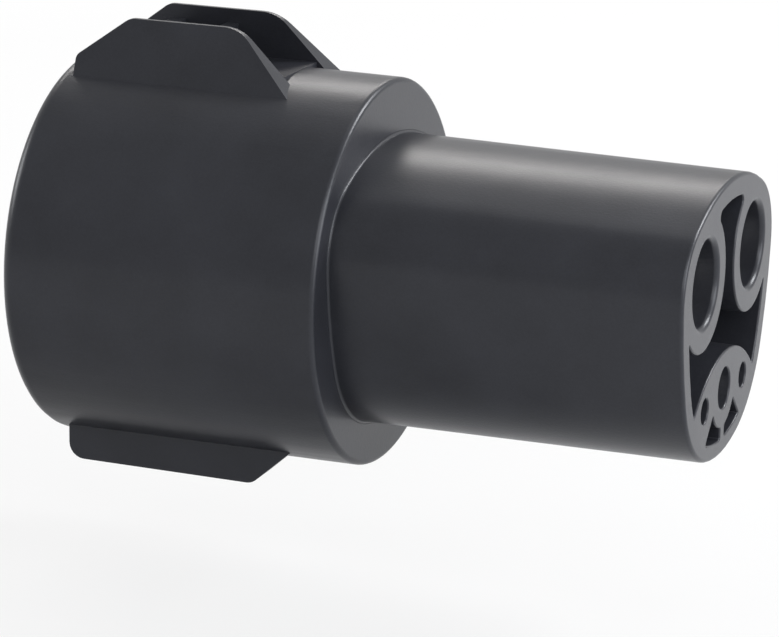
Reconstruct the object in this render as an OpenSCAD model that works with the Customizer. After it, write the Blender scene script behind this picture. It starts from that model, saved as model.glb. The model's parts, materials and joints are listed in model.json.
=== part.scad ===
// Adapter between a round five-pin charging plug and an egg-shaped vehicle inlet.
// Inside the modules the connector axis is X: x = 0 is the mouth that takes the
// charging plug, and x grows towards the nose that goes into the vehicle. Y is
// across and Z is up. The whole part is then moved so that it stands at z = 0.

/* [Drum] */
// Outer diameter of the drum at its mouth
drum_d = 49; // [47:0.5:56]
// How much narrower the drum is at its front edge
drum_taper = 0.7; // [0:0.1:1]
// Length of the drum
drum_l = 41.2; // [38:0.2:60]
// Diameter of the round socket that takes the plug's barrel
socket_d = 44.2; // [40:0.1:44.5]
// Rounding of the mouth rim
mouth_round = 1.8; // [0.4:0.1:2]
// Rounding of the front edge
front_round = 0.4; // [0.3:0.1:1.5]
// Thickness of the drum's front wall
front_wall = 5; // [4:0.5:8]

/* [Latch guard] */
// Height of the guard wings above the connector axis
wing_top = 30.1; // [29:0.1:32]
// Gap between the two wings
wing_gap = 10.8; // [10:0.1:14]
// Thickness of a wing at its top edge
wing_tip = 0.6; // [0.4:0.1:1.5]
// Slant of the wings' outer sides, in degrees from upright
wing_slant = 21; // [10:1:24]
// Distance from the mouth to the wings
wing_start = 2.4; // [2:0.1:4]
// Distance from the mouth to the start of the wings' flat top
wing_flat_start = 8.9; // [8.5:0.1:10]
// Length of the wings' flat top
wing_flat_l = 14.75; // [13:0.25:16]
// Height left under the slope at the wings' rear end
wing_heel = 25.3; // [24.8:0.1:26]
// Slope of the wings' front end, in degrees from level
wing_front_slope = 45; // [40:1:60]
// Rounding of the wings' front corners
wing_front_round = 4.8; // [2:0.1:5]
// Height of the latch catch and the stop bar above the connector axis
catch_top = 28.3; // [26.5:0.1:28.6]
// Place of the catch, from the mouth to its upright face
catch_x = 11.2; // [10:0.1:12]
// Length of the flat on top of the catch
catch_flat = 1.9; // [1:0.1:2.5]
// Length of the pocket behind the catch
latch_pocket_l = 5.6; // [5:0.1:6]
// Thickness of the bar that closes the pocket
stop_bar_t = 1.6; // [1:0.1:3]
// Height of the pocket's floor above the connector axis
latch_floor = 23.1; // [22.9:0.1:23.4]
// Height of the flat in front of the stop bar above the connector axis
guard_flat = 24.35; // [24.3:0.05:24.8]
// Distance from the mouth to the front lip of that flat
guard_lip_x = 29.1; // [26:0.1:30]

/* [Foot ribs] */
// Depth of the foot ribs' lowest edge under the connector axis
rib_depth = 25.7; // [25.2:0.1:28]
// Distance from the middle plane to a rib's outer face
rib_outer = 12; // [9:0.1:14]
// Thickness of one rib
rib_t = 4; // [2:0.1:6]
// Distance from the mouth to the ribs
rib_start = 3; // [2:0.1:6]
// Distance from the mouth to the end of the ribs' flat underside
rib_flat_end = 28.2; // [20:0.1:30]
// Slope of the ribs' front end, in degrees from level
rib_front_slope = 42; // [35:1:60]
// Rounding of the ribs' corners and of the wings' rear corners
corner_round = 2; // [0.5:0.1:2.5]

/* [Nose] */
// Length of the nose in front of the drum
nose_l = 43.5; // [40:0.5:60]
// Height of the face's flat above the connector axis
face_top = 16; // [15.8:0.1:16.5]
// Radius of the outline's top arc
top_arc_r = 32.2; // [30:0.1:36]
// Radius of the outline's shoulders
shoulder_r = 8.5; // [8:0.1:9]
// Radius of the outline's sides
side_arc_r = 42.2; // [38:0.1:46]
// Radius of the outline's lower corners
jaw_r = 14.4; // [13.8:0.1:14.8]
// Rounding of the nose's front edge
nose_round = 0.5; // [0.3:0.1:0.8]
// Draft of the nose's sides, in degrees
nose_draft = 0.7; // [0:0.05:1]
// Radius of the flare where the nose meets the drum
flare_r = 0.6; // [0.4:0.1:1]
// Wall of the nose round its rear cavity
nose_wall = 3.3; // [2.5:0.1:3.5]
// Depth of the solid block behind the face
face_block_l = 22.5; // [20:0.5:26]
// Depth of the seat in the drum's front wall that takes the nose
nose_seat = 2; // [1.5:0.1:2.5]

/* [Face] */
// Distance between the two power openings
power_pitch = 20.2; // [19.6:0.1:20.6]
// Height of the power openings above the connector axis
power_z = 6; // [5.5:0.1:6.5]
// Diameter of the power openings
power_d = 10.3; // [10.2:0.1:10.6]
// Width of the bevel round the power openings
power_bevel = 0.45; // [0.1:0.05:0.6]
// Radius of the raised ring round each power opening
ring_r = 8.3; // [7.8:0.1:8.6]
// Height of the ground opening above the connector axis
ground_z = -9.4; // [-9.8:0.1:-9]
// Diameter of the ground opening
ground_d = 5.1; // [5.1:0.1:5.6]
// Distance between the two signal openings
signal_pitch = 16.4; // [16:0.1:17]
// Height of the signal openings above the connector axis
signal_z = -10; // [-10.4:0.1:-9.6]
// Diameter of the signal openings
signal_d = 3.1; // [3.1:0.1:3.6]
// Wall left between the recesses and the outline
face_wall = 2.2; // [1.8:0.1:2.6]
// Radius of the arch under the main recess
arch_r = 18.5; // [17:0.1:20]
// Height of the arch's crown above the connector axis
arch_top = -4.7; // [-5:0.1:-4.4]
// Width of the main recess at its top
recess_top_w = 9.8; // [8:0.2:11]
// Rounding of the main recess's upper corners
recess_corner = 0.8; // [0.4:0.1:1.2]
// Depth of the main recess
recess_depth = 9; // [4:0.5:12]
// Wall left under the two lower pockets
pocket_wall = 1.6; // [1.2:0.1:2.2]
// Depth of the two lower pockets
pocket_depth = 4; // [2:0.5:6]
// Radius of the collar left round the ground opening
ground_collar_r = 4.9; // [4.6:0.1:5.2]
// Height at which the lower pockets' slanted outer sides would meet
pocket_peak = -7.4; // [-7.8:0.1:-7]
// Web between the two lower pockets
pocket_web = 1.8; // [1:0.1:2.4]
// Distance from the face to the locking notch on the underside
notch_from_face = 19.7; // [18:0.1:22]
// Length of the locking notch
notch_l = 9; // [6:0.5:10]
// Width of the locking notch
notch_w = 7; // [4:0.5:9]
// Depth of the locking notch
notch_depth = 1.4; // [0.8:0.1:1.6]

/* [Plug side contacts] */
// Thickness of the pin carrier's disc
carrier_t = 5; // [5:0.5:8]
// Outer diameter of the shroud round the pins
shroud_d = 38.4; // [36:0.1:39]
// Wall of that shroud
shroud_t = 1.9; // [1.2:0.1:2.4]
// Distance from the mouth to the shroud's rim
shroud_x = 6; // [3:0.5:10]
// Distance from the shroud's rim to the pins' tips
pin_inset = 3; // [1:0.5:6]
// Distance between the two power pins
pin_pitch = 15.7; // [15.2:0.1:16.2]
// Height of the power pins above the connector axis
pin_z = 6.8; // [6.4:0.1:7.2]
// Distance between the two signal pins
signal_pin_pitch = 21.3; // [20.8:0.1:21.8]
// Height of the signal pins above the connector axis
signal_pin_z = -5.6; // [-6:0.1:-5.2]
// Height of the ground pin above the connector axis
ground_pin_z = -10.6; // [-11:0.1:-10.2]
// Diameter of the power pins
power_pin_d = 3.6; // [3:0.1:4]
// Diameter of the ground pin
ground_pin_d = 2.8; // [2.4:0.1:3.4]
// Width of the shoulder round a pin
pin_shoulder_w = 1; // [0.6:0.1:1.2]
// Diameter of the signal pins
signal_pin_d = 1.5; // [1.2:0.1:2]
// Thickness of the shoulder that seats a pin in the carrier
pin_shoulder_t = 2; // [1:0.1:3]

/* [Vehicle side contacts] */
// Bore of the power sockets
power_bore_d = 8.1; // [7.8:0.1:8.2]
// Distance from the face to the power sockets
power_socket_inset = 4; // [2:0.5:6]
// Bore of the ground socket
ground_bore_d = 3.3; // [2.8:0.1:3.6]
// Bore of the signal sockets
signal_bore_d = 1.6; // [1.4:0.1:1.9]
// Depth of the sockets' bores
socket_bore_l = 13; // [10:0.5:14]
// Distance from the face to the ground and signal sockets
small_socket_inset = 2; // [1:0.5:4]
// Thickness of the flange that seats a socket in the nose
socket_flange_t = 2; // [1.5:0.1:3]
// Width of a power socket's flange round the socket
power_flange_w = 1; // [0.6:0.1:1.2]
// Width of a small socket's flange round the socket
small_flange_w = 0.8; // [0.5:0.1:0.9]
// Diameter of the power sockets' tails
power_tail_d = 6.2; // [4:0.1:7]
// Diameter of the ground socket's tail
ground_tail_d = 3.4; // [2.4:0.1:4]
// Diameter of the signal sockets' tails
signal_tail_d = 2.1; // [1.4:0.1:2.6]
// Thickness of the holder plate behind the sockets
holder_t = 5; // [3:0.5:6]
// Length of the couplers between sockets and pins
coupler_l = 11; // [8:0.5:12]
// Wall of the power couplers round a tail
power_coupler_wall = 1.4; // [0.8:0.1:1.6]
// Wall of the ground coupler round a tail
ground_coupler_wall = 1.1; // [0.6:0.1:1.4]
// Wall of the signal couplers round a tail
signal_coupler_wall = 0.8; // [0.5:0.1:1]
// Distance from a power socket's mouth to its contact spring
spring_inset = 3; // [2:0.1:4]
// Depth of the groove that holds a contact spring
spring_seat = 0.4; // [0.3:0.05:0.5]
// Length of the contact springs
spring_l = 8; // [6:0.5:9]
// Width of the slots in a contact spring
spring_slot = 0.8; // [0.4:0.1:1.2]
// Rim left at each end of a contact spring
spring_rim = 1.2; // [0.8:0.1:2]
// Number of slots in a contact spring
spring_slots = 12; // [8:1:16]

/* [Seals and screws] */
// Thickness of the gasket between nose and drum
gasket_t = 0.8; // [0.5:0.1:1]
// Thickness of the round seal on the pin carrier
seal_d = 1.9; // [1.6:0.1:2.2]
// Diameter of the case screws
screw_d = 2.5; // [2:0.1:3]
// Diameter of the case screws' heads
screw_head_d = 4.8; // [4:0.1:5]
// Height of the case screws' heads
screw_head_h = 1.8; // [1.2:0.1:2.2]
// Depth to which the case screws go into the nose
screw_bite = 13; // [8:0.5:15]
// Wall of the nose's bosses round the case screws
boss_wall = 1.3; // [1:0.1:1.5]
// Height of the upper screw above the connector axis
top_screw_z = 11.6; // [11.2:0.1:11.6]
// Distance of the two side screws from the middle plane
side_screw_y = 13.3; // [13.1:0.1:13.4]
// Height of the side screws above the connector axis
side_screw_z = -1.8; // [-2:0.1:-1.6]

/* [Hidden] */
$fn = 96;

CHARCOAL = "#3b3b40";
BRASS = "#b8954a";
SILVER = "#c4c6c8";
RUBBER = "#1f1f22";
STEEL = "#9a9ca0";
// Play between parts that slide into one another
play = 0.1;
// Play between the nose's root and its seat in the drum
seat_play = 0.05;
// Extra length of a cutting body past the face that it cuts
over = 1;

overall_l = drum_l + nose_l;
socket_r = socket_d / 2;
// The drum's front wall stands between these two planes
wall_back = drum_l - front_wall;
seat_x = drum_l - nose_seat;
nose_back = seat_x + gasket_t;
carrier_x = wall_back - carrier_t;
pin_tip_x = shroud_x + pin_inset;
shroud_r = shroud_d / 2;
cavity_end = overall_l - face_block_l;
holder_x = cavity_end - holder_t;
coupler_x = holder_x - coupler_l;
// The catch, the stop bar and the flat end inside the wings
wing_bite = wing_gap / 2 + wing_tip;
stop_bar_x = catch_x + latch_pocket_l;
tail_middle = coupler_x + coupler_l / 2;
power_mouth = overall_l - power_socket_inset;
small_mouth = overall_l - small_socket_inset;
// Thickness of the web between a coupler's two ends, as a share of their diameter
COUPLER_WEB = 0.8;
// Depth to which walls that stand on the drum run into it
root_sink = 0.4;

// Middle points of the openings, each as [across, up]
LINE = [-power_pitch / 2, power_z];
NEUTRAL = [power_pitch / 2, power_z];
GROUND = [0, ground_z];
PILOT = [-signal_pitch / 2, signal_z];
PROXIMITY = [signal_pitch / 2, signal_z];
LINE_PIN = [-pin_pitch / 2, pin_z];
NEUTRAL_PIN = [pin_pitch / 2, pin_z];
GROUND_PIN = [0, ground_pin_z];
PILOT_PIN = [-signal_pin_pitch / 2, signal_pin_z];
PROXIMITY_PIN = [signal_pin_pitch / 2, signal_pin_z];
SCREWS = [[0, top_screw_z], [-side_screw_y, side_screw_z], [side_screw_y, side_screw_z]];
boss_d = screw_d + 2 * boss_wall;
thread_d = screw_d - 2 * play;

// The nose's outline is five arcs on each side that meet at common tangents.
// Angles run from straight up (0) over the side (90) to straight down (180).
TURNS = [26, 94, 111, 164];
// Centre of the arc that takes over from centre c at angle a, when the radius goes from r0 to r1
function next_centre(c, r0, r1, a) = c + (r0 - r1) * [sin(a), cos(a)];
top_c = [0, face_top - top_arc_r];
shoulder_c = next_centre(top_c, top_arc_r, shoulder_r, TURNS[0]);
side_c = next_centre(shoulder_c, shoulder_r, side_arc_r, TURNS[1]);
jaw_c = next_centre(side_c, side_arc_r, jaw_r, TURNS[2]);
// The chin arc has its centre on the middle plane, and that sets its radius
chin_r = jaw_r + jaw_c[0] / sin(TURNS[3]);
chin_c = next_centre(jaw_c, jaw_r, chin_r, TURNS[3]);
function outline_arc(a) =
    a < TURNS[0] ? [top_c, top_arc_r] :
    a < TURNS[1] ? [shoulder_c, shoulder_r] :
    a < TURNS[2] ? [side_c, side_arc_r] :
    a < TURNS[3] ? [jaw_c, jaw_r] : [chin_c, chin_r];
// Point of the outline whose normal is at angle a, moved outwards by grow
function outline_point(a, grow) =
    let (half = a > 180 ? 360 - a : a, side = a > 180 ? -1 : 1, arc = outline_arc(half))
    [side * (arc[0][0] + (arc[1] + grow) * sin(half)), arc[0][1] + (arc[1] + grow) * cos(half)];
OUTLINE_STEPS = 72;
function outline(grow) = [for (i = [0:OUTLINE_STEPS - 1]) outline_point(360 * i / OUTLINE_STEPS, grow)];

// Growth of the nose over its face outline, as [x, growth] from back to front
flare_x = drum_l + flare_r;
front_x = overall_l - nose_round;
root_grow = nose_round + (front_x - flare_x) * tan(nose_draft);
neck_grow = root_grow + flare_r;
FLARE_STEPS = 4;
ROUND_STEPS = 5;
NOSE_STATIONS = concat(
    [[nose_back, neck_grow]],
    [for (i = [0:FLARE_STEPS]) let (a = 90 * i / FLARE_STEPS)
        [flare_x - flare_r * cos(a), root_grow + flare_r * (1 - sin(a))]],
    [for (i = [0:ROUND_STEPS]) let (a = 90 * i / ROUND_STEPS)
        [front_x + nose_round * sin(a), nose_round * cos(a)]]);
// Inner outline of the nose's rear cavity
cavity_grow = nose_round - nose_wall;

// Moves the part so that it stands at z = 0 with its middle at the origin
module place() {
    translate([-overall_l / 2, 0, rib_depth]) children();
}

// Round bar along X from x0 to x1, through the point p
module bar(p, x0, x1, d) {
    translate([x0, p[0], p[1]]) rotate([0, 90, 0]) cylinder(h = x1 - x0, d = d);
}

// Cone along X from x0 with diameter d0 to x1 with diameter d1, through the point p
module taper(p, x0, x1, d0, d1) {
    translate([x0, p[0], p[1]]) rotate([0, 90, 0]) cylinder(h = x1 - x0, d1 = d0, d2 = d1);
}

// Flat shape in the Y-Z plane, thickened along X from x0 to x1
module across(x0, x1) {
    translate([x0, 0, 0]) rotate([90, 0, 90]) linear_extrude(x1 - x0) children();
}

// Flat shape in the X-Z plane, thickened along Y from y0 to y1
module along(y0, y1) {
    translate([0, y1, 0]) rotate([90, 0, 0]) linear_extrude(y1 - y0) children();
}

// Profile in [radius, x], turned round the connector axis
module turned() {
    rotate([0, 90, 0]) rotate_extrude() children();
}

// Points of a corner at b between a and c, rounded with radius r
function corner(a, b, c, r, steps = 6) =
    let (u = (a - b) / norm(a - b), v = (c - b) / norm(c - b),
         half = acos(u * v) / 2, middle = (u + v) / norm(u + v),
         centre = b + middle * r / sin(half), start = b + u * r / tan(half) - centre,
         turn = (180 - 2 * half) * (u[0] * v[1] - u[1] * v[0] > 0 ? -1 : 1))
    [for (i = [0:steps]) let (w = turn * i / steps)
        centre + [start[0] * cos(w) - start[1] * sin(w), start[0] * sin(w) + start[1] * cos(w)]];

// Solid through a row of stations, each the outline grown by its own amount
module loft(stations) {
    n = OUTLINE_STEPS;
    last = len(stations) - 1;
    points = [for (s = stations) for (p = outline(s[1])) [s[0], p[0], p[1]]];
    sides = [for (j = [0:last - 1]) for (i = [0:n - 1]) let (k = (i + 1) % n)
        [j * n + i, j * n + k, (j + 1) * n + k, (j + 1) * n + i]];
    back = [for (i = [0:n - 1]) n - 1 - i];
    front = [for (i = [0:n - 1]) last * n + i];
    polyhedron(points = points, faces = concat(sides, [back, front]));
}

// Drum wall: outer face with rounded edges, tapering towards the front
module drum_body() {
    rim = drum_d / 2 - mouth_round;
    edge = (drum_d - drum_taper) / 2 - front_round;
    turned() polygon(concat(
        [[0, 0]],
        [for (a = [0:18:90]) [rim + mouth_round * sin(a), mouth_round * (1 - cos(a))]],
        [for (a = [0:15:90]) [edge + front_round * cos(a), drum_l - front_round * (1 - sin(a))]],
        [[0, drum_l]]));
}

// One wing of the latch guard, seen from the side
module wing_side() {
    base = socket_r - over;
    flat_end = wing_flat_start + wing_flat_l;
    heel = [wing_start, wing_heel];
    top_rear = [wing_flat_start, wing_top];
    top_front = [flat_end, wing_top];
    toe = [flat_end + (wing_top - base) / tan(wing_front_slope), base];
    polygon(concat(
        [[wing_start, base]],
        corner([wing_start, base], heel, top_rear, corner_round / 2),
        corner(heel, top_rear, top_front, corner_round),
        corner(top_rear, top_front, toe, wing_front_round),
        [toe]));
}

// Cross-section of one wing: upright inside, slanted outside, thin at the top
module wing_section() {
    inner = wing_gap / 2;
    low = socket_r - 2 * over;
    high = wing_top + over;
    polygon([[inner, low], [inner, high],
             [inner + wing_tip - over * tan(wing_slant), high],
             [inner + wing_tip + (wing_top - low) * tan(wing_slant), low]]);
}

// One foot rib, seen from the side
module rib_side() {
    base = -(socket_r * cos(asin(rib_outer / socket_r)) + root_sink);
    low = -rib_depth;
    toe = [rib_flat_end + (base - low) / tan(rib_front_slope), base];
    polygon(concat(
        [[rib_start, base]],
        corner([rib_start, base], [rib_start, low], [rib_flat_end, low], corner_round),
        corner([rib_start, low], [rib_flat_end, low], toe, corner_round),
        [toe]));
}

// Ramp up to the catch that the plug's latch hooks behind
module catch_side() {
    polygon([[wing_start, latch_floor - over], [wing_start, latch_floor + over],
             [catch_x - catch_flat, catch_top], [catch_x, catch_top], [catch_x, latch_floor - over]]);
}

module drum_shell() {
    color(CHARCOAL) place() difference() {
        union() {
            difference() {
                drum_body();
                // Pocket that the plug's latch drops into
                translate([catch_x - catch_flat / 2, -wing_gap / 2, latch_floor])
                    cube([latch_pocket_l + (catch_flat + stop_bar_t) / 2, wing_gap, drum_d]);
            }
            for (side = [0, 1]) mirror([0, side, 0]) intersection() {
                along(0, socket_r) wing_side();
                across(0, drum_l) wing_section();
            }
            along(-wing_bite, wing_bite) catch_side();
            translate([stop_bar_x, -wing_bite, latch_floor - over])
                cube([stop_bar_t, 2 * wing_bite, catch_top - latch_floor + over]);
            // Flat between the stop bar and the front lip
            translate([stop_bar_x + stop_bar_t / 2, -wing_bite, latch_floor - over / 2])
                cube([guard_lip_x - stop_bar_x - stop_bar_t / 2, 2 * wing_bite,
                      guard_flat - latch_floor + over / 2]);
            for (side = [-1, 1])
                along(side > 0 ? rib_outer - rib_t : -rib_outer, side > 0 ? rib_outer : rib_t - rib_outer)
                    rib_side();
        }
        bar([0, 0], -over, wall_back, socket_d);
        // Window in the front wall for the contacts
        across(wall_back - over, drum_l + over) polygon(outline(cavity_grow));
        // Seat for the nose and its gasket
        across(seat_x, drum_l + over) polygon(outline(neck_grow + seat_play));
    }
}

// Upper end of the main recess, with rounded corners
module recess_top() {
    half = recess_top_w / 2;
    turn = asin(half / (top_arc_r - face_wall));
    rim = [for (i = [-2:2]) outline_point(turn * i / 2, -face_wall)];
    polygon(concat(
        [[-half, power_z - over]],
        corner([-half, power_z], rim[0], rim[1], recess_corner),
        [rim[1], rim[2], rim[3]],
        corner(rim[3], rim[4], [half, power_z], recess_corner),
        [[half, power_z - over]]));
}

// The Y-shaped recess: the face between the two power rings and above the arch
module main_recess() {
    difference() {
        union() {
            recess_top();
            intersection() {
                polygon(outline(-face_wall));
                translate([-drum_d, power_z - drum_d]) square([2 * drum_d, drum_d]);
            }
        }
        for (p = [LINE, NEUTRAL]) translate(p) circle(ring_r);
        translate([0, arch_top - arch_r]) circle(arch_r);
        translate([-drum_d, arch_top - arch_r - drum_d]) square([2 * drum_d, drum_d]);
    }
}

// The two small pockets under the ground opening
module lower_pockets() {
    intersection() {
        difference() {
            polygon(outline(-pocket_wall));
            translate(GROUND) circle(ground_collar_r);
            translate([-pocket_web / 2, -drum_d]) square([pocket_web, drum_d]);
        }
        polygon([[0, pocket_peak], [drum_d, pocket_peak - drum_d], [-drum_d, pocket_peak - drum_d]]);
    }
}

module nose_shell() {
    face = overall_l;
    color(CHARCOAL) place() difference() {
        loft(NOSE_STATIONS);
        // Rear cavity for the couplers
        difference() {
            across(nose_back - over, cavity_end) polygon(outline(cavity_grow));
            for (p = SCREWS) bar(p, nose_back - 2 * over, cavity_end + over, boss_d);
        }
        for (p = SCREWS) bar(p, nose_back - over, nose_back + screw_bite, thread_d);
        // Power openings with a bevelled rim and a seat for the sockets' flanges
        for (p = [LINE, NEUTRAL]) {
            bar(p, cavity_end - over, face + over, power_d);
            taper(p, face - power_bevel, face + over, power_d, power_d + 2 * (power_bevel + over));
            bar(p, cavity_end - over, cavity_end + socket_flange_t, power_d + 2 * power_flange_w);
        }
        bar(GROUND, cavity_end - over, face + over, ground_d);
        bar(GROUND, cavity_end - over, cavity_end + socket_flange_t, ground_d + 2 * small_flange_w);
        for (p = [PILOT, PROXIMITY]) {
            bar(p, cavity_end - over, face + over, signal_d);
            bar(p, cavity_end - over, cavity_end + socket_flange_t, signal_d + 2 * small_flange_w);
        }
        across(face - recess_depth, face + over) main_recess();
        across(face - pocket_depth, face + over) lower_pockets();
        // Notch that the vehicle's locking pin drops into
        translate([face - notch_from_face - notch_l, -notch_w / 2, chin_c[1] - chin_r - nose_round - over])
            cube([notch_l, notch_w, notch_depth + over]);
    }
}

module pin_carrier() {
    pins = [[LINE_PIN, power_pin_d], [NEUTRAL_PIN, power_pin_d], [GROUND_PIN, ground_pin_d],
            [PILOT_PIN, signal_pin_d], [PROXIMITY_PIN, signal_pin_d]];
    groove_x = carrier_x + carrier_t / 2;
    color(CHARCOAL) place() difference() {
        union() {
            bar([0, 0], carrier_x, wall_back, socket_d - 2 * play);
            bar([0, 0], shroud_x, carrier_x + over, shroud_d);
        }
        bar([0, 0], shroud_x - over, carrier_x, shroud_d - 2 * shroud_t);
        // Groove for the round seal
        turned() translate([socket_r - seal_d, groove_x - seal_d / 2 - play])
            square([seal_d, seal_d + 2 * play]);
        for (pin = pins) {
            bar(pin[0], carrier_x - over, wall_back + over, pin[1] + 2 * play);
            bar(pin[0], wall_back - pin_shoulder_t, wall_back + over, pin[1] + 2 * pin_shoulder_w + 2 * play);
        }
        for (p = SCREWS) bar(p, carrier_x - over, wall_back + over, screw_d + 2 * play);
    }
}

module contact_holder() {
    tails = [[LINE, power_tail_d], [NEUTRAL, power_tail_d], [GROUND, ground_tail_d],
             [PILOT, signal_tail_d], [PROXIMITY, signal_tail_d]];
    color(CHARCOAL) place() difference() {
        across(holder_x, cavity_end) polygon(outline(cavity_grow - play));
        for (tail = tails) bar(tail[0], holder_x - over, cavity_end + over, tail[1] + 2 * play);
        for (p = SCREWS) bar(p, holder_x - over, cavity_end + over, boss_d + 2 * play);
    }
}

module root_gasket() {
    color(RUBBER) place() difference() {
        across(seat_x, nose_back) polygon(outline(neck_grow - play));
        across(seat_x - over, nose_back + over) polygon(outline(cavity_grow));
    }
}

module carrier_seal() {
    color(RUBBER) place()
        turned() translate([socket_r - seal_d / 2, carrier_x + carrier_t / 2]) circle(d = seal_d);
}

module case_screws() {
    tip = nose_back + screw_bite - play;
    color(STEEL) place() for (p = SCREWS) difference() {
        union() {
            bar(p, carrier_x, wall_back, screw_d);
            bar(p, wall_back, nose_back, screw_d);
            bar(p, nose_back, tip, thread_d);
            bar(p, carrier_x - screw_head_h, carrier_x, screw_head_d);
        }
        // Six-sided drive in the head
        translate([carrier_x - screw_head_h - over, p[0], p[1]]) rotate([0, 90, 0])
            cylinder(h = screw_head_h, d = screw_head_d / 2, $fn = 6);
    }
}

// Plug side pin: rounded tip, shank, seating shoulder and tail
module pin(p, d) {
    color(SILVER) place() union() {
        translate([pin_tip_x + d / 2, p[0], p[1]]) sphere(d = d);
        bar(p, pin_tip_x + d / 2, tail_middle - over, d);
        bar(p, wall_back - pin_shoulder_t, wall_back, d + 2 * pin_shoulder_w);
    }
}

module line_pin() { pin(LINE_PIN, power_pin_d); }
module neutral_pin() { pin(NEUTRAL_PIN, power_pin_d); }
module ground_pin() { pin(GROUND_PIN, ground_pin_d); }
module pilot_pin() { pin(PILOT_PIN, signal_pin_d); }
module proximity_pin() { pin(PROXIMITY_PIN, signal_pin_d); }

// Vehicle side socket: flanged tube with a bevelled mouth and a tail
module socket(p, mouth_x, hole_d, bore, step, tail) {
    outer = hole_d - 2 * play;
    bevel = (outer - bore) / 4;
    difference() {
        union() {
            bar(p, cavity_end, mouth_x, outer);
            bar(p, cavity_end, cavity_end + socket_flange_t, outer + 2 * step);
            bar(p, tail_middle + over, cavity_end, tail);
        }
        bar(p, mouth_x - socket_bore_l, mouth_x + over, bore);
        taper(p, mouth_x - bevel, mouth_x + over, bore, bore + 2 * (bevel + over));
    }
}

module power_socket(p) {
    spring_end = power_mouth - spring_inset;
    color(BRASS) place() difference() {
        socket(p, power_mouth, power_d, power_bore_d, power_flange_w, power_tail_d);
        bar(p, spring_end - spring_l - play, spring_end + play, power_bore_d + 2 * spring_seat);
    }
}

module small_socket(p, hole_d, bore, tail) {
    color(BRASS) place() socket(p, small_mouth, hole_d, bore, small_flange_w, tail);
}

module line_socket() { power_socket(LINE); }
module neutral_socket() { power_socket(NEUTRAL); }
module ground_socket() { small_socket(GROUND, ground_d, ground_bore_d, ground_tail_d); }
module pilot_socket() { small_socket(PILOT, signal_d, signal_bore_d, signal_tail_d); }
module proximity_socket() { small_socket(PROXIMITY, signal_d, signal_bore_d, signal_tail_d); }

// Slotted spring band that lines the groove of a power socket
module spring_band(p) {
    end_x = power_mouth - spring_inset;
    color(SILVER) place() difference() {
        bar(p, end_x - spring_l, end_x, power_bore_d + 2 * spring_seat - play);
        bar(p, end_x - spring_l - over, end_x + over, power_bore_d);
        for (i = [0:spring_slots - 1])
            translate([end_x - spring_l + spring_rim, p[0], p[1]])
                rotate([360 * i / spring_slots, 0, 0]) translate([0, 0, -spring_slot / 2])
                    cube([spring_l - 2 * spring_rim, power_bore_d, spring_slot]);
    }
}

module line_spring() { spring_band(LINE); }
module neutral_spring() { spring_band(NEUTRAL); }

// Block that joins the tail of a pin at a to the tail of a socket at b

module coupler(a, pin_d, b, tail_d, wall) {
    big = max(pin_d, tail_d) + 2 * wall;
    web = COUPLER_WEB * big;
    gap = norm(b - a);
    color(BRASS) place() difference() {
        union() {
            bar(a, coupler_x, holder_x, big);
            bar(b, coupler_x, holder_x, big);
            translate([coupler_x + over, a[0], a[1]]) rotate([atan2(b[1] - a[1], b[0] - a[0]), 0, 0])
                translate([0, 0, -web / 2]) cube([coupler_l - 2 * over, gap, web]);
        }
        bar(a, coupler_x - over, tail_middle - over, pin_d);
        bar(b, tail_middle + over, holder_x + over, tail_d);
    }
}

module line_coupler() { coupler(LINE_PIN, power_pin_d, LINE, power_tail_d, power_coupler_wall); }
module neutral_coupler() { coupler(NEUTRAL_PIN, power_pin_d, NEUTRAL, power_tail_d, power_coupler_wall); }
module ground_coupler() { coupler(GROUND_PIN, ground_pin_d, GROUND, ground_tail_d, ground_coupler_wall); }
module pilot_coupler() { coupler(PILOT_PIN, signal_pin_d, PILOT, signal_tail_d, signal_coupler_wall); }
module proximity_coupler() {
    coupler(PROXIMITY_PIN, signal_pin_d, PROXIMITY, signal_tail_d, signal_coupler_wall);
}

drum_shell();
nose_shell();
pin_carrier();
contact_holder();
root_gasket();
carrier_seal();
case_screws();
line_pin();
neutral_pin();
ground_pin();
pilot_pin();
proximity_pin();
line_socket();
neutral_socket();
ground_socket();
pilot_socket();
proximity_socket();
line_spring();
neutral_spring();
line_coupler();
neutral_coupler();
ground_coupler();
pilot_coupler();
proximity_coupler();
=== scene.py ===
import json
import math

import bpy
from bpy.props import FloatProperty, FloatVectorProperty, IntProperty, PointerProperty
from mathutils import Matrix, Vector


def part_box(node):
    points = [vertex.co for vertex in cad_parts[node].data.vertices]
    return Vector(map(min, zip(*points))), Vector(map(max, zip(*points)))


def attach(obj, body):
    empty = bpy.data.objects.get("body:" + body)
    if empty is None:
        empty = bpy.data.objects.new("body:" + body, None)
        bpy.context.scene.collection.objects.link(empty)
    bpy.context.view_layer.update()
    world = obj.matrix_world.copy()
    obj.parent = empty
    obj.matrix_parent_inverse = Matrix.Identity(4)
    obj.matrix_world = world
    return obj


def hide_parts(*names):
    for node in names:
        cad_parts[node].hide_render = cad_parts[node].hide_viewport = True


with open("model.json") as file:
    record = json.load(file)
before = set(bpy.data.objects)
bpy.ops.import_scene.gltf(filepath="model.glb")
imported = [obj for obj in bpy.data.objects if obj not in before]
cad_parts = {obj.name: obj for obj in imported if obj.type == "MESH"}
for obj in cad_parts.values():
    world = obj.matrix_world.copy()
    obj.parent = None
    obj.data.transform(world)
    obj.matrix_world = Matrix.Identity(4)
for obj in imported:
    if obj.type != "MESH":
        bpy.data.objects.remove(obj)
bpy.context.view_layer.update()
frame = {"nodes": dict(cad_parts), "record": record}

bl_info = {
    "name": "Vehicle charging adapter",
    "version": (1, 0, 0),
    "blender": (4, 5, 0),
    "location": "View3D > Sidebar > Adapter",
    "description": "Dresses a packed charging adapter and builds its studio",
    "category": "Object",
}

MM = 0.001

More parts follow.
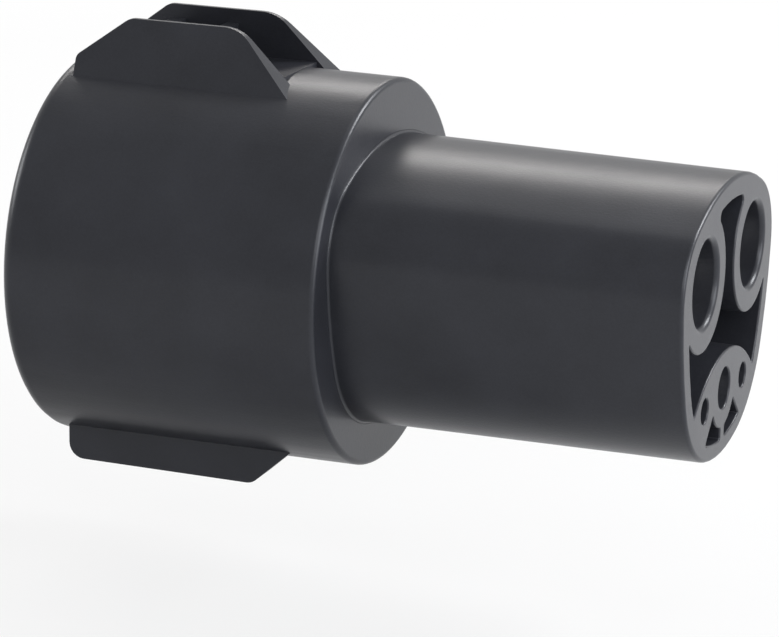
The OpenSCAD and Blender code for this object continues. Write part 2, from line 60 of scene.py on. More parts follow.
# The connector axis runs along X at this height
AXIS_HEIGHT = sum(corner.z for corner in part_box("carrier_seal")) / 2

# Ends of the nose, front plane of the drum, and floor of the nose's seat in it, with the slack
# by which a point may miss that plane
NOSE_ROOT, NOSE_FACE = (corner.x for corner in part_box("nose_shell"))
DRUM_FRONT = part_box("drum_shell")[1].x
SEAT_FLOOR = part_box("root_gasket")[0].x
SEAT_SLACK = 0.02 * MM

# The seat's outline lies between these distances from the axis: holes and hollows are
# nearer, and the drum's rounded front edge lies beyond the last one
SEAT_INNER = 16.8 * MM
SEAT_OUTER = 22 * MM
EDGE_INNER = 23 * MM

# Rings of points are scaled about a middle, from their mean distance to it. The points of
# one ring lie within RING_GAP of its plane
NOSE_MIDDLE = AXIS_HEIGHT - 0.8 * MM
NOSE_REACH = 18.8 * MM
DRUM_REACH = 24.15 * MM
RING_GAP = 0.006 * MM

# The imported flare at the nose's root: its width, its steps, and the share of it that is
# drawn in. The finished flare's inner rings end FLARE_RINGS in front of the drum
FLARE = 0.6 * MM
FLARE_STEPS = 4
FLARE_CUT = 0.45
FLARE_RINGS = 0.3 * MM

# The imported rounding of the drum's front edge: its radius, its steps, and how much wider
# the finished one is
FRONT_ROUND = 0.4 * MM
FRONT_STEPS = 6
FRONT_GAIN = 0.3 * MM

# The recesses and screw pockets in the nose's face end before this depth. The locking notch
# lies further down than NOTCH_TOP below the axis, the nose's hollow doesn't
RECESS_REACH = 9.5 * MM
NOTCH_TOP = 15 * MM

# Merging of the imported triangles, and angles in degrees at which faces are joined, edges
# count as sharp and shading is split
MERGE_GAP = 0.002 * MM
FLAT_ANGLE = 0.4
MOULDED_ANGLE = 32.0
TURNED_ANGLE = 40.0
SMOOTH_ANGLE = 42.0

# Pins: step from a pin to its collar, and the rounded tip's steps and first angle in degrees
PIN_STEP = 1.0 * MM
TIP_STEPS = 5
TIP_START = 8.0

# Length of a pin's collar and of a socket's flange
COLLAR_LENGTH = 2 * MM

# Sockets: step from the barrel to the flange, and radius of the tail
SOCKET_SHAPES = {
    "line_socket": (1.0 * MM, 3.1 * MM),
    "neutral_socket": (1.0 * MM, 3.1 * MM),
    "ground_socket": (0.8 * MM, 1.7 * MM),
    "pilot_socket": (0.8 * MM, 1.05 * MM),
    "proximity_socket": (0.8 * MM, 1.05 * MM),
}
SOCKET_DEPTH = 13 * MM

# Groove for the spring of a power socket: its depth, and its ends behind the mouth
SPRING_SOCKETS = ("line_socket", "neutral_socket")
GROOVE_DEPTH = 0.4 * MM
GROOVE_START = 2.9 * MM
GROOVE_END = 11.1 * MM

# Camera of the photograph: its place in metres, its directions, its focal length and picture
# width in pixels, and its sensor's width in millimetres
CAMERA_PLACE = Vector((0.13944, -0.36174, 0.13125))
CAMERA_RIGHT = Vector((0.93045, 0.36603, 0.01681))
CAMERA_DOWN = Vector((0.11617, -0.25116, -0.96095))
CAMERA_FORWARD = Vector((-0.34751, 0.89607, -0.27621))
FOCAL_PIXELS = 3249.36
PICTURE_WIDTH = 779
SENSOR_WIDTH = 36.0

# Softboxes: name, place, aim, width and height, watts and colour
PART_MIDDLE = (0.0, 0.0, 0.03)
LAMPS = (
    # The long highlight on top of the nose and the drum
    ("back_softbox", (-0.30, 0.65, 0.515), PART_MIDDLE, (0.7, 0.12), 2.1, (1.0, 0.965, 0.94)),
    # The nose's face, the step behind it and the lines along their edges
    ("right_softbox", (0.80, -0.10, 0.30), PART_MIDDLE, (0.5, 0.5), 4.7, (0.95, 0.97, 1.0)),
    ("corner_softbox", (0.52, 0.50, 0.52), PART_MIDDLE, (0.3, 0.3), 5.0, (0.97, 0.98, 1.0)),
    # The sides that the camera looks at
    ("front_fill", (0.50, -0.62, 0.48), (0.0, 0.0, 0.02), (0.7, 0.5), 3.3, (0.97, 0.98, 1.0)),
    # The plug socket and its pins
    ("mouth_softbox", (-0.75, -0.08, 0.30), PART_MIDDLE, (0.4, 0.3), 2.2, (0.98, 0.99, 1.0)),
    # The shadow on the floor
    ("top_softbox", (0.05, 0.22, 0.85), (0.03, 0.0, 0.0), (0.6, 0.3), 0.6, (1.0, 1.0, 1.0)),
)

# Floor: its size, its grey, and the distances between which it fades to white
FLOOR_SIZE = 6.0
FLOOR_GREY = 0.78
FADE_START = 0.12
FADE_END = 0.45


class AdapterSizes(bpy.types.PropertyGroup):
    """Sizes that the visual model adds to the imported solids"""

    shell_edge: FloatProperty(
        name="Shell edge", description="Rounding of the moulded shells' edges",
        default=0.28 * MM, min=0.05 * MM, max=0.6 * MM, precision=5, unit="LENGTH")
    face_edge: FloatProperty(
        name="Face edge", description="Rounding of the edges in the nose's face",
        default=0.24 * MM, min=0.05 * MM, max=0.4 * MM, precision=5, unit="LENGTH")
    carrier_edge: FloatProperty(
        name="Carrier edge", description="Rounding of the pin carrier's edges",
        default=0.2 * MM, min=0.05 * MM, max=0.5 * MM, precision=5, unit="LENGTH")
    metal_edge: FloatProperty(
        name="Metal edge", description="Rounding of the turned contacts' edges",
        default=0.08 * MM, min=0.02 * MM, max=0.2 * MM, precision=5, unit="LENGTH")
    contact_sides: IntProperty(
        name="Contact sides", description="Facets round a turned contact",
        default=64, min=24, max=128)
    floor_drop: FloatProperty(
        name="Floor drop", description="Height at which the part floats over the studio floor",
        default=13.4 * MM, min=0.0, max=0.1, precision=4, unit="LENGTH")


class AdapterFinishes(bpy.types.PropertyGroup):
    """Colours of the moulded and the metal finishes"""

    charcoal: FloatVectorProperty(
        name="Charcoal", description="Colour of the moulded housing",
        default=(0.0215, 0.0225, 0.0275), min=0.0, max=1.0, size=3, subtype="COLOR")
    inner_charcoal: FloatVectorProperty(
        name="Inner charcoal", description="Colour of the mouldings inside the housing",
        default=(0.020, 0.020, 0.022), min=0.0, max=1.0, size=3, subtype="COLOR")
    rubber: FloatVectorProperty(
        name="Rubber", description="Colour of the seals",
        default=(0.012, 0.012, 0.013), min=0.0, max=1.0, size=3, subtype="COLOR")
    silver: FloatVectorProperty(
        name="Silver", description="Colour of the plated pins, sockets and springs",
        default=(0.74, 0.72, 0.69), min=0.0, max=1.0, size=3, subtype="COLOR")
    brass: FloatVectorProperty(
        name="Brass", description="Colour of the couplers",
        default=(0.60, 0.42, 0.17), min=0.0, max=1.0, size=3, subtype="COLOR")
    steel: FloatVectorProperty(
        name="Steel", description="Colour of the case screws",
        default=(0.46, 0.47, 0.49), min=0.0, max=1.0, size=3, subtype="COLOR")


# ---- Shader node groups and materials ----

def node(tree, kind, *terms, **values):
    """Adds a node and sets it up.

    Terms go to its inputs in order. A keyword names one of its properties or, with
    underscores for spaces, one of its inputs. An output of another node is linked.
    """
    made = tree.nodes.new(kind)
    # Properties come first, because they decide which inputs can be found by name
    for key in [key for key in values if hasattr(made, key)]:
        setattr(made, key, values.pop(key))
    sockets = list(zip(made.inputs, terms))
    sockets += [(made.inputs[key.replace("_", " ")], value) for key, value in values.items()]
    for socket, value in sockets:
        if isinstance(value, bpy.types.NodeSocket):
            tree.links.new(value, socket)
        else:
            socket.default_value = value
    return made


def maths(tree, operation, *terms):
    """Result of a sum on numbers and outputs."""
    return node(tree, "ShaderNodeMath", *terms, operation=operation).outputs[0]


def scaled(tree, colour, share):
    """Colour whose three channels are multiplied by a share."""
    return node(tree, "ShaderNodeVectorMath", colour, Scale=share, operation="SCALE").outputs[0]


def surface_group(name, build, **inputs):
    """Group that puts out a surface's colour, bump height and roughness, built once.

    The build function gets the tree, its inputs and the Object coordinates.
    """
    if name in bpy.data.node_groups:
        return bpy.data.node_groups[name]
    tree = bpy.data.node_groups.new(name, "ShaderNodeTree")
    for label, value in inputs.items():
        kind = "NodeSocketColor" if isinstance(value, tuple) else "NodeSocketFloat"
        socket = tree.interface.new_socket(
            label.replace("_", " "), in_out="INPUT", socket_type=kind)
        socket.default_value = value
    for label, kind in (("Colour", "Color"), ("Height", "Float"), ("Roughness", "Float")):
        tree.interface.new_socket(label, in_out="OUTPUT", socket_type="NodeSocket" + kind)
    given = tree.nodes.new("NodeGroupInput").outputs
    place = tree.nodes.new("ShaderNodeTexCoord").outputs["Object"]
    out = tree.nodes.new("NodeGroupOutput")
    for label, result in build(tree, given, place).items():
        tree.links.new(result, out.inputs[label])
    return tree


def build_grain(tree, given, place):
    """Fine noise for the bump, fine and coarse noise for the mottling and the roughness."""
    fine = node(tree, "ShaderNodeTexNoise", Vector=place, Scale=given["Grain scale"],
                Detail=3.0, Roughness=0.65).outputs["Fac"]
    coarse = node(tree, "ShaderNodeTexNoise", Vector=place, Scale=90.0,
                  Detail=4.0, Roughness=0.6).outputs["Fac"]
    fine_share = 0.6
    coarse_sheen = 0.12
    both = maths(tree, "MULTIPLY_ADD", fine, fine_share, coarse)
    # The summed noise runs from about 0.45 to 1.15
    swing = node(tree, "ShaderNodeMapRange", Value=both, From_Min=0.45, From_Max=1.15,
                 To_Min=maths(tree, "SUBTRACT", 1.0, given["Mottle"]),
                 To_Max=maths(tree, "ADD", 1.0, given["Mottle"]))
    return {
        "Colour": scaled(tree, given["Colour"], swing.outputs["Result"]),
        "Height": fine,
        "Roughness": maths(tree, "MULTIPLY_ADD", coarse, coarse_sheen, given["Sheen"]),
    }


def moulding_grain():
    """Spark-eroded mould texture with faint mottling."""
    return surface_group("Moulding grain", build_grain, Colour=(0.04, 0.04, 0.045, 1.0),
                         Grain_scale=3600.0, Mottle=0.12, Sheen=0.5)


def build_marks(tree, given, place):
    """Noise drawn out to rings for the bump, and spots of noise for the tarnish."""
    along_axis = (1.0, 0.03, 0.03)
    stretch = node(tree, "ShaderNodeVectorMath", place, along_axis, operation="MULTIPLY")
    rings = node(tree, "ShaderNodeTexNoise", Vector=stretch.outputs[0],
                 Scale=given["Ring scale"], Detail=2.0, Roughness=0.5)
    spots = node(tree, "ShaderNodeTexNoise", Vector=place, Scale=420.0,
                 Detail=5.0, Roughness=0.6)
    mask = node(tree, "ShaderNodeMapRange", Value=spots.outputs["Fac"],
                From_Min=0.5, From_Max=0.75)
    dull = maths(tree, "MULTIPLY", mask.outputs["Result"], given["Tarnish"])
    return {
        "Colour": scaled(tree, given["Colour"], maths(tree, "SUBTRACT", 1.0, dull)),
        "Height": rings.outputs["Fac"],
        "Roughness": maths(tree, "ADD", dull, given["Sheen"]),
    }


def turning_marks():
    """Fine rings that a lathe leaves round a contact, with dull handling spots."""
    return surface_group("Turning marks", build_marks, Colour=(0.6, 0.5, 0.3, 1.0),
                         Ring_scale=5200.0, Tarnish=0.2, Sheen=0.2)


def finish(name, group, colour, values, strength, height, metallic=0.0, shader_values=()):
    """Material whose colour, roughness and bump come from a group.

    The colour is a label in the finishes. Strength and height are the bump's, and the
    shader's own values are the same all over the surface.
    """
    if name in bpy.data.materials:
        return bpy.data.materials[name]
    material = bpy.data.materials.new(name)
    material.use_nodes = True
    tree = material.node_tree
    shader = tree.nodes["Principled BSDF"]
    effect = node(tree, "ShaderNodeGroup", node_tree=group)
    effect.inputs["Colour"].default_value = (
        *getattr(bpy.context.scene.adapter_finishes, colour), 1.0)
    for label, value in values.items():
        effect.inputs[label].default_value = value
    relief = node(tree, "ShaderNodeBump", Strength=strength, Distance=height,
                  Height=effect.outputs["Height"])
    tree.links.new(relief.outputs["Normal"], shader.inputs["Normal"])
    tree.links.new(effect.outputs["Colour"], shader.inputs["Base Color"])
    tree.links.new(effect.outputs["Roughness"], shader.inputs["Roughness"])
    shader.inputs["Metallic"].default_value = metallic
    for label, value in dict(shader_values).items():
        shader.inputs[label].default_value = value
    return material


def housing_plastic():
    """Charcoal plastic of the drum and the nose, with a soft shine."""
    return finish("Housing plastic", moulding_grain(), "charcoal",
                  {"Grain scale": 3000.0, "Mottle": 0.26, "Sheen": 0.25},
                  strength=0.3, height=0.05 * MM,
                  shader_values={"Specular IOR Level": 0.34,
                                 "Specular Tint": (0.95, 0.965, 1.0, 1.0)})


def inner_plastic():
    """Plastic of the pin carrier and the contact holder."""
    return finish("Inner plastic", moulding_grain(), "inner_charcoal",
                  {"Grain scale": 4200.0, "Mottle": 0.08, "Sheen": 0.36},
                  strength=0.2, height=0.04 * MM)


def seal_rubber():
    """Dull rubber of the two seals."""
    return finish("Seal rubber", moulding_grain(), "rubber",
                  {"Grain scale": 6000.0, "Mottle": 0.15, "Sheen": 0.62},
                  strength=0.2, height=0.03 * MM)


def plated_silver():
    """Plating of the pins, sockets and springs."""
    return finish("Plated silver", turning_marks(), "silver",
                  {"Tarnish": 0.25, "Sheen": 0.24},
                  strength=0.1, height=0.01 * MM, metallic=1.0)


def turned_brass():
    """Bare brass of the couplers."""
    return finish("Turned brass", turning_marks(), "brass",
                  {"Tarnish": 0.25, "Sheen": 0.22},
                  strength=0.15, height=0.01 * MM, metallic=1.0)


def zinc_steel():
    """Zinc-plated steel of the case screws."""
    return finish("Zinc steel", turning_marks(), "steel",
                  {"Ring scale": 2600.0, "Tarnish": 0.2, "Sheen": 0.28},
                  strength=0.1, height=0.01 * MM, metallic=1.0)


# ---- Modelling helpers ----

def nothing_selected():
    """Leaves edit mode and deselects everything."""
    if bpy.context.object and bpy.context.object.mode != "OBJECT":
        bpy.ops.object.mode_set(mode="OBJECT")
    bpy.ops.object.select_all(action="DESELECT")


def only(piece):
    """Makes one piece the selected and the active one."""
    nothing_selected()
    piece.select_set(True)
    bpy.context.view_layer.objects.active = piece


def merged_copy(cad_node, name):
    """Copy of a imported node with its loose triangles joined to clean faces."""
    piece = bpy.data.objects.new(name, frame["nodes"][cad_node].data.copy())
    bpy.context.scene.collection.objects.link(piece)
    only(piece)
    bpy.ops.mesh.customdata_custom_splitnormals_clear()
    bpy.ops.object.mode_set(mode="EDIT")
    bpy.ops.mesh.select_all(action="SELECT")
    bpy.ops.mesh.remove_doubles(threshold=MERGE_GAP)
    bpy.ops.mesh.dissolve_limited(angle_limit=math.radians(FLAT_ANGLE),
                                  use_dissolve_boundaries=False)
    bpy.ops.object.mode_set(mode="OBJECT")
    return piece


def lathe(name, centre, stations, sides):
    """Turned piece: a disc extruded and scaled from station to station, as (x, radius)."""
    nothing_selected()
    x, radius = stations[0]
    bpy.ops.mesh.primitive_circle_add(
        vertices=sides, radius=radius, fill_type="NGON", location=(x, *centre),
        rotation=(0.0, math.pi / 2, 0.0), enter_editmode=True)
    for next_x, next_radius in stations[1:]:
        bpy.ops.mesh.extrude_region_move(TRANSFORM_OT_translate={"value": (next_x - x, 0.0, 0.0)})
        size = next_radius / radius
        bpy.ops.transform.resize(value=(1.0, size, size), center_override=(next_x, *centre))
        x, radius = next_x, next_radius
    bpy.ops.mesh.select_all(action="SELECT")
    bpy.ops.mesh.normals_make_consistent(inside=False)
    bpy.ops.object.mode_set(mode="OBJECT")
    piece = bpy.context.object
    piece.name = name
    bpy.ops.object.transform_apply(location=True, rotation=True, scale=True)
    return piece


def quarter_turn(steps):
    """Angles in radians from nothing to a right angle, in even steps."""
    return [math.radians(90.0 * step / steps) for step in range(steps + 1)]


def reach_of(point):
    """Distance of a point from the connector axis."""
    return math.hypot(point.y, point.z - AXIS_HEIGHT)


def draw_in(piece, x, growth, shift=0.0, beyond=0.0, within=math.inf,
            middle=NOSE_MIDDLE, mean_reach=NOSE_REACH):
    """Pulls a ring of points in towards a middle by growth, and moves it along X by shift.

    The ring is every point at x whose distance from the axis lies between beyond and within.
    """
    only(piece)
    bpy.ops.object.mode_set(mode="EDIT")
    bpy.ops.mesh.select_mode(type="VERT")
    bpy.ops.mesh.select_all(action="DESELECT")
    bpy.ops.object.mode_set(mode="OBJECT")
    for point in piece.data.vertices:
        in_plane = abs(point.co.x - x) < RING_GAP
        point.select = in_plane and beyond <= reach_of(point.co) < within
    bpy.ops.object.mode_set(mode="EDIT")
    share = 1.0 - growth / mean_reach
    bpy.ops.transform.resize(value=(1.0, share, share), center_override=(x, 0.0, middle))
    bpy.ops.transform.translate(value=(shift, 0.0, 0.0))
    bpy.ops.object.mode_set(mode="OBJECT")


def softened(piece, width, angle=MOULDED_ANGLE, segments=2, crisp=None, clamp=True):
    """Rounds the sharp edges, apart from those whose ends are crisp, and smooths the rest."""
    only(piece)
    bpy.ops.object.mode_set(mode="EDIT")
    bpy.ops.mesh.select_mode(type="EDGE")
    bpy.ops.mesh.select_all(action="DESELECT")
    bpy.ops.mesh.edges_select_sharp(sharpness=math.radians(angle))
    bpy.ops.object.mode_set(mode="OBJECT")
    mesh = piece.data
    weights = mesh.attributes.new("bevel_weight_edge", "FLOAT", "EDGE")
    for edge in mesh.edges:
        ends = [mesh.vertices[end].co for end in edge.vertices]
        kept = crisp and all(crisp(end) for end in ends)
        weights.data[edge.index].value = 1.0 if edge.select and not kept else 0.0
    bevel = piece.modifiers.new("Edge rounding", "BEVEL")
    bevel.width = width
    bevel.segments = segments
    bevel.limit_method = "WEIGHT"
    bevel.use_clamp_overlap = clamp
    bevel.miter_outer = "MITER_ARC"
    bpy.ops.object.modifier_apply(modifier=bevel.name)
    bpy.ops.object.shade_smooth_by_angle(angle=math.radians(SMOOTH_ANGLE))
    # Normals follow the large faces, so that flats stay flat beside their rounded edges
    flat = piece.modifiers.new("Flat faces", "WEIGHTED_NORMAL")
    flat.keep_sharp = True
    bpy.ops.object.modifier_apply(modifier=flat.name)


def settled(piece, material, slot, *nodes):
    """Gives a finished piece its material and its body, and hides the nodes that it stands for.
    """
    piece.data.materials.clear()
    piece.data.materials.append(material)
    for face in piece.data.polygons:
        face.material_index = 0
    piece.data.name = piece.name
    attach(piece, "root")
    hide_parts(*nodes)


def repaint(cad_node, material):
    """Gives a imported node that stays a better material."""
    for slot in frame["nodes"][cad_node].material_slots:
        slot.material = material


def centre_of(cad_node):
    """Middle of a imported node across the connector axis, as (y, z)."""
    low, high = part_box(cad_node)
    return ((low.y + high.y) / 2, (low.z + high.z) / 2)


# ---- Operators ----

def in_seat(point):
    """True on the walls and the floor of the nose's seat, whose edges stay crisp."""
    return point.x > SEAT_FLOOR - SEAT_SLACK and reach_of(point) < SEAT_OUTER


class ADAPTER_OT_drum(bpy.types.Operator):
    """Drum with the latch guard wings and the foot ribs"""

    bl_idname = "adapter.drum"
    bl_label = "Drum"

    def execute(self, context):
        drum = merged_copy("drum_shell", "drum")
        # The seat's outline follows the narrower flare
        for x in (DRUM_FRONT, SEAT_FLOOR):
            draw_in(drum, x, FLARE_CUT * FLARE, beyond=SEAT_INNER, within=SEAT_OUTER)
        # The rings of the front edge's rounding move out to a wider arc
        for turn in quarter_turn(FRONT_STEPS):
            back = 1.0 - math.sin(turn)
            draw_in(drum, DRUM_FRONT - FRONT_ROUND * back, FRONT_GAIN * (1.0 - math.cos(turn)),
                    shift=-FRONT_GAIN * back, beyond=EDGE_INNER,
                    middle=AXIS_HEIGHT, mean_reach=DRUM_REACH)
        softened(drum, context.scene.adapter_sizes.shell_edge, segments=3, crisp=in_seat)
        settled(drum, housing_plastic(), "plastic", "drum_shell")
        return {"FINISHED"}


def behind_face(point):
    """True at the nose's root and in its hollow, whose edges stay crisp."""
    hollow = point.x < NOSE_FACE - RECESS_REACH and point.z > AXIS_HEIGHT - NOTCH_TOP
    return hollow or point.x < DRUM_FRONT + FLARE_RINGS


class ADAPTER_OT_nose(bpy.types.Operator):
    """Nose with the recessed face and its openings"""

    bl_idname = "adapter.nose"
    bl_label = "Nose"

    def execute(self, context):
        nose = merged_copy("nose_shell", "nose")
        # The flare's rings run from the nose's side back to the drum's front plane
        for turn in reversed(quarter_turn(FLARE_STEPS)):
            along = FLARE * (1.0 - math.cos(turn))
            growth = FLARE * (1.0 - math.sin(turn))
            draw_in(nose, DRUM_FRONT + along, FLARE_CUT * growth, shift=-FLARE_CUT * along)
        draw_in(nose, NOSE_ROOT, FLARE_CUT * FLARE, beyond=SEAT_INNER)
        softened(nose, context.scene.adapter_sizes.face_edge, segments=3, clamp=False,
                 crisp=behind_face)
        settled(nose, housing_plastic(), "plastic", "nose_shell")
        return {"FINISHED"}


class ADAPTER_OT_carrier(bpy.types.Operator):
    """Carrier that holds the pins, with its round shroud, and the sockets' holder"""

    bl_idname = "adapter.carrier"
    bl_label = "Pin carrier"

    def execute(self, context):
        carrier = merged_copy("pin_carrier", "carrier")
        softened(carrier, context.scene.adapter_sizes.carrier_edge)
        settled(carrier, inner_plastic(), "plastic", "pin_carrier")
        repaint("contact_holder", inner_plastic())
        return {"FINISHED"}


def rounded_tip(x, radius):
    """Stations of a half ball whose tip points back towards the mouth."""
    angles = [math.radians(TIP_START + (90 - TIP_START) * step / TIP_STEPS)
              for step in range(TIP_STEPS + 1)]
    return [(x + radius * (1 - math.cos(angle)), radius * math.sin(angle)) for angle in angles]


class ADAPTER_OT_pins(bpy.types.Operator):
    """Five plated pins that stand in the plug socket"""

    bl_idname = "adapter.pins"
    bl_label = "Pins"

    def execute(self, context):
        sizes = context.scene.adapter_sizes
        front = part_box("pin_carrier")[1].x
        back = front - COLLAR_LENGTH
        for cad_node in ("line_pin", "neutral_pin", "ground_pin", "pilot_pin", "proximity_pin"):
            low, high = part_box(cad_node)
            collar = (high.z - low.z) / 2
            radius = collar - PIN_STEP
            stations = rounded_tip(low.x, radius)
            stations += [(back, radius), (back, collar), (front, collar), (front, radius),
                         (high.x, radius)]
            pin = lathe(cad_node + "_turned", centre_of(cad_node), stations, sizes.contact_sides)
            softened(pin, sizes.metal_edge, angle=TURNED_ANGLE)
            settled(pin, plated_silver(), "pin_silver", cad_node)
        return {"FINISHED"}


class ADAPTER_OT_sockets(bpy.types.Operator):
    """Five turned sockets behind the openings of the nose's face"""

    bl_idname = "adapter.sockets"
    bl_label = "Sockets"

    def execute(self, context):
        sizes = context.scene.adapter_sizes
        bores = {mount["name"].removesuffix("_bore"): mount["dims"]["r_mm"] * MM
                 for mount in frame["record"]["mounts"] if mount["kind"] == "bore"}
        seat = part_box("contact_holder")[1].x
        for cad_node, bore in bores.items():
            low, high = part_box(cad_node)
            step, tail = SOCKET_SHAPES[cad_node]
            flange = (high.z - low.z) / 2
            outer = flange - step
            mouth = high.x
            bevel = (outer - bore) / 2
            stations = [(low.x, tail), (seat, tail), (seat, flange),
                        (seat + COLLAR_LENGTH, flange), (seat + COLLAR_LENGTH, outer),
                        (mouth, outer), (mouth, bore + bevel), (mouth - bevel, bore)]
            if cad_node in SPRING_SOCKETS:
                groove = bore + GROOVE_DEPTH
                stations += [(mouth - GROOVE_START, bore), (mouth - GROOVE_START, groove),
                             (mouth - GROOVE_END, groove), (mouth - GROOVE_END, bore)]
            stations.append((mouth - SOCKET_DEPTH, bore))
            socket = lathe(cad_node + "_turned", centre_of(cad_node), stations,
                           sizes.contact_sides)
            softened(socket, sizes.metal_edge, angle=TURNED_ANGLE)
            settled(socket, plated_silver(), "pin_silver", cad_node)
        return {"FINISHED"}


class ADAPTER_OT_springs(bpy.types.Operator):
    """Slotted spring bands inside the power sockets"""

    bl_idname = "adapter.springs"
    bl_label = "Contact springs"

    def execute(self, context):
        for cad_node in ("line_spring", "neutral_spring"):
            repaint(cad_node, plated_silver())
        return {"FINISHED"}


class ADAPTER_OT_screws(bpy.types.Operator):
    """Three case screws that hold the nose, the drum and the pin carrier together"""

    bl_idname = "adapter.screws"
    bl_label = "Case screws"

    def execute(self, context):
        repaint("case_screws", zinc_steel())
        return {"FINISHED"}


class ADAPTER_OT_hidden_pieces(bpy.types.Operator):
    """Seals and couplers inside the housing"""

    bl_idname = "adapter.hidden_pieces"
    bl_label = "Seals and couplers"

    def execute(self, context):
        gasket = merged_copy("root_gasket", "gasket")
        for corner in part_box("root_gasket"):
            draw_in(gasket, corner.x, FLARE_CUT * FLARE, beyond=SEAT_INNER)
        settled(gasket, seal_rubber(), "seal_rubber", "root_gasket")
        repaint("carrier_seal", seal_rubber())
        for circuit in ("line", "neutral", "ground", "pilot", "proximity"):
            repaint(circuit + "_coupler", turned_brass())
        return {"FINISHED"}


# ---- Stage ----

def softbox(name, place, aim, size, power, colour):
    """Area lamp at a place, turned towards an aim."""
    nothing_selected()
    bpy.ops.object.light_add(type="AREA", location=place)
    lamp = bpy.context.object
    lamp.name = name
    lamp.rotation_euler = (Vector(aim) - Vector(place)).to_track_quat("-Z", "Y").to_euler()
    lamp.data.shape = "RECTANGLE"
    lamp.data.size, lamp.data.size_y = size
    lamp.data.energy = power
    lamp.data.color = colour


def ray_level(tree, scattered, mirrored, seen):
    """Output with a level for scattered light, for glossy rays, and for rays that are seen."""
    path = tree.nodes.new("ShaderNodeLightPath").outputs
    camera, through, glossy = (
        node(tree, "ShaderNodeMapRange", Value=path[label], To_Min=scattered,
             To_Max=level).outputs["Result"]
        for label, level in (("Is Camera Ray", seen), ("Is Transmission Ray", seen),
                             ("Is Glossy Ray", mirrored)))
    return maths(tree, "MAXIMUM", maths(tree, "MAXIMUM", camera, through), glossy)


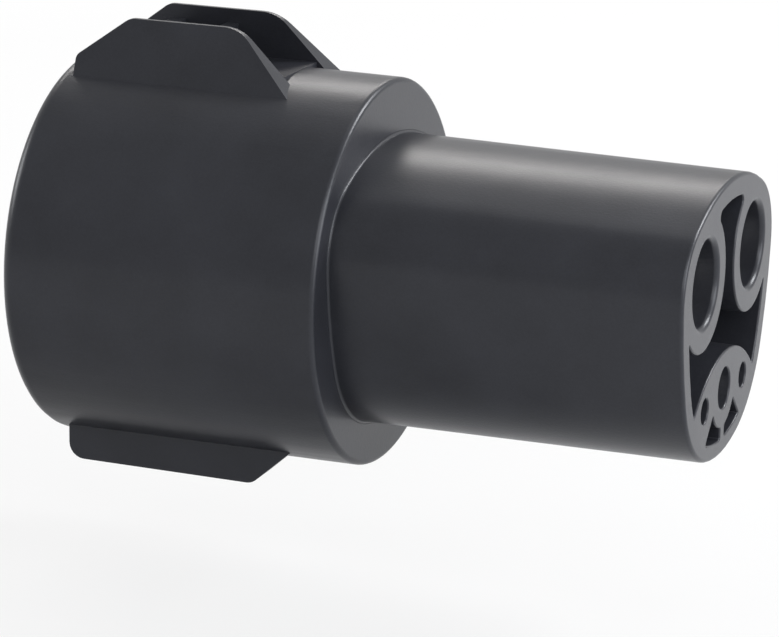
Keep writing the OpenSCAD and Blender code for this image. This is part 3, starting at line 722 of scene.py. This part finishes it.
class ADAPTER_OT_stage(bpy.types.Operator):
    """Camera, pale floor, softboxes and white surroundings"""

    bl_idname = "adapter.stage"
    bl_label = "Stage"

    def execute(self, context):
        scene = context.scene
        scene.view_settings.view_transform = "Standard"
        self.camera(scene)
        self.floor(scene.adapter_sizes.floor_drop)
        for lamp in LAMPS:
            softbox(*lamp)
        self.surroundings(scene)
        return {"FINISHED"}

    def camera(self, scene):
        """Camera at the photograph's viewing angle."""
        nothing_selected()
        bpy.ops.object.camera_add()
        camera = bpy.context.object
        camera.name = "photo_camera"
        turn = Matrix((CAMERA_RIGHT, -CAMERA_DOWN, -CAMERA_FORWARD)).transposed()
        camera.matrix_world = Matrix.Translation(CAMERA_PLACE) @ turn.to_4x4()
        camera.data.sensor_fit = "HORIZONTAL"
        camera.data.sensor_width = SENSOR_WIDTH
        camera.data.lens = FOCAL_PIXELS * SENSOR_WIDTH / PICTURE_WIDTH
        camera.data.clip_start = 0.01
        scene.camera = camera

    def floor(self, drop):
        """Floor that shows white to the camera and still takes a faint shadow."""
        nothing_selected()
        bpy.ops.mesh.primitive_plane_add(size=FLOOR_SIZE, location=(0.0, 0.0, -drop))
        floor = bpy.context.object
        floor.name = "studio_floor"
        bpy.ops.object.transform_apply(location=True)
        material = bpy.data.materials.new("Studio floor")
        material.use_nodes = True
        tree = material.node_tree
        paper = tree.nodes["Principled BSDF"]
        paper.inputs["Base Color"].default_value = (FLOOR_GREY, FLOOR_GREY, FLOOR_GREY, 1.0)
        paper.inputs["Roughness"].default_value = 1.0
        paper.inputs["Specular IOR Level"].default_value = 0.0
        # Far from the part the floor runs out into the white surroundings
        place = tree.nodes.new("ShaderNodeTexCoord").outputs["Object"]
        away = node(tree, "ShaderNodeVectorMath", place, operation="LENGTH").outputs["Value"]
        fade = node(tree, "ShaderNodeMapRange", interpolation_type="SMOOTHSTEP",
                    Value=away, From_Min=FADE_START, From_Max=FADE_END).outputs["Result"]
        seen = ray_level(tree, scattered=0.0, mirrored=0.05, seen=0.78)
        # Its glow lights nothing: scattered light meets only the paper
        bounced = tree.nodes.new("ShaderNodeLightPath").outputs["Is Diffuse Ray"]
        shown = node(tree, "ShaderNodeMapRange", Value=bounced,
                     To_Min=maths(tree, "MAXIMUM", fade, seen), To_Max=0.0).outputs["Result"]
        glow = node(tree, "ShaderNodeEmission", Strength=1.0)
        mix = node(tree, "ShaderNodeMixShader", shown, paper.outputs[0], glow.outputs[0])
        tree.links.new(mix.outputs[0], tree.nodes["Material Output"].inputs["Surface"])
        floor.data.materials.append(material)

    def surroundings(self, scene):
        """White to the camera and through clear pieces, softer in reflections and as a light."""
        world = bpy.data.worlds.new("Studio")
        world.use_nodes = True
        scene.world = world
        tree = world.node_tree
        sky = tree.nodes["Background"]
        sky.inputs["Color"].default_value = (1.0, 1.0, 1.0, 1.0)
        strength = ray_level(tree, scattered=0.22, mirrored=0.6, seen=1.0)
        tree.links.new(strength, sky.inputs["Strength"])


class ADAPTER_PT_sidebar(bpy.types.Panel):
    """Lists the adapter's pieces, sizes and colours"""

    bl_label = "Charging adapter"
    bl_idname = "ADAPTER_PT_sidebar"
    bl_space_type = "VIEW_3D"
    bl_region_type = "UI"
    bl_category = "Adapter"

    def draw(self, context):
        for operator in OPERATORS:
            self.layout.operator(operator.bl_idname)
        for group in (context.scene.adapter_sizes, context.scene.adapter_finishes):
            for label in group.__annotations__:
                self.layout.prop(group, label)


OPERATORS = (
    ADAPTER_OT_stage,
    ADAPTER_OT_drum,
    ADAPTER_OT_nose,
    ADAPTER_OT_carrier,
    ADAPTER_OT_pins,
    ADAPTER_OT_sockets,
    ADAPTER_OT_springs,
    ADAPTER_OT_screws,
    ADAPTER_OT_hidden_pieces,
)
CLASSES = (AdapterSizes, AdapterFinishes, *OPERATORS, ADAPTER_PT_sidebar)


def register():
    for cls in CLASSES:
        bpy.utils.register_class(cls)
    bpy.types.Scene.adapter_sizes = PointerProperty(type=AdapterSizes)
    bpy.types.Scene.adapter_finishes = PointerProperty(type=AdapterFinishes)


def unregister():
    del bpy.types.Scene.adapter_finishes
    del bpy.types.Scene.adapter_sizes
    for cls in reversed(CLASSES):
        bpy.utils.unregister_class(cls)


def main():
    """Builds the stage and the pieces in order."""
    register()
    bpy.ops.adapter.stage()
    bpy.ops.adapter.drum()
    bpy.ops.adapter.nose()
    bpy.ops.adapter.carrier()
    bpy.ops.adapter.pins()
    bpy.ops.adapter.sockets()
    bpy.ops.adapter.springs()
    bpy.ops.adapter.screws()
    bpy.ops.adapter.hidden_pieces()
    nothing_selected()


if __name__ == "__main__":
    main()
